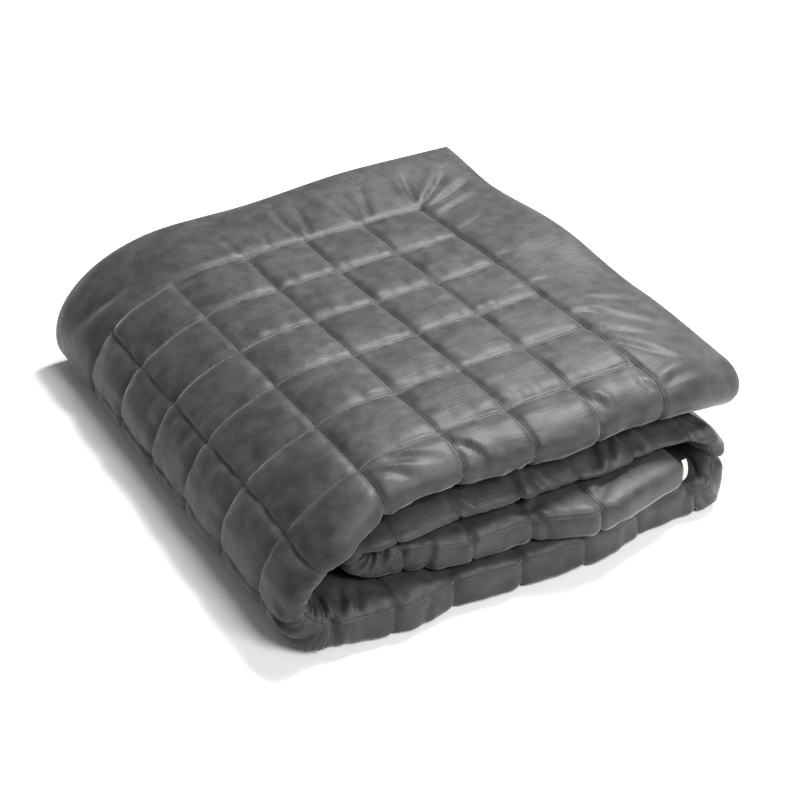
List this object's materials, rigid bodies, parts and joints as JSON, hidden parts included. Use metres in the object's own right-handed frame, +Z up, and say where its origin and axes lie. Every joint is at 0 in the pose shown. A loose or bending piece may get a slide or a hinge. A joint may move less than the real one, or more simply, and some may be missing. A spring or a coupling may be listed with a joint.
{
  "type": "winter quilt",
  "caption": "Thick quilted velvet bed quilt with a plain border, doubled over and folded into a soft flat stack that rests on its underside.",
  "frame": {"origin": "middle of the folded quilt's underside, on the surface it rests on", "axes": "+Z up, +X along the quilt's length towards the loose top hem, -Y towards the doubled front edge"},
  "size_m": [0.6116, 0.6904, 0.1735],
  "materials": {
    "quilted_velvet": "mid-grey brushed velvet with a soft satin sheen, quilted in squares",
    "label_ribbon": "blank white woven ribbon"
  },
  "bodies": {
    "root": {"quilt": "quilted_velvet", "care_label": "label_ribbon"}
  },
  "joints": []
}
